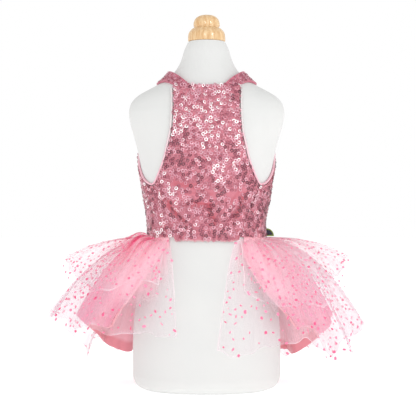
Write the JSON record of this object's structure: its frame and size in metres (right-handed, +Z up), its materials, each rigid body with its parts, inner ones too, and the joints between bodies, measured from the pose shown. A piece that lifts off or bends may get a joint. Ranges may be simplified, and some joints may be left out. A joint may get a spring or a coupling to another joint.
{
  "type": "dog tutu dress on a limbless dress form",
  "caption": "Small dog's tutu dress: sequinned halter bodice over a gathered skirt of pink and dotted net tiers, open at the belly, on a limbless dress form with a turned wooden neck cap.",
  "frame": {"origin": "centre of the form's flat base, on the surface that it stands on", "axes": "+Z up along the form, the chest faces -Y, +X is to the right of someone who looks at the chest"},
  "size_m": [0.3538, 0.2189, 0.41],
  "materials": {
    "form": "matt, off-white",
    "cap": "turned and varnished pale wood",
    "sequin_cloth": "rose cloth covered in flat ring sequins",
    "strap_cloth": "rose glitter cloth",
    "binding": "matt folded binding",
    "lining": "smooth lining cloth",
    "pink_net": "fine pink net",
    "dotted_net": "sheer net with scattered pink dots",
    "label": "woven tab, blank"
  },
  "bodies": {
    "root": {"dress_form": "form", "neck_cap": "cap", "chest_panel": "sequin_cloth", "back_panel": "sequin_cloth", "strap_left": "strap_cloth", "strap_right": "strap_cloth", "armhole_binding_left": "binding", "armhole_binding_right": "binding", "side_label": "label", "waist_seam": "lining", "skirt_lining": "lining", "skirt_pink_net": "pink_net", "skirt_dotted_net_long": "dotted_net", "skirt_dotted_net_short": "dotted_net"}
  },
  "joints": []
}
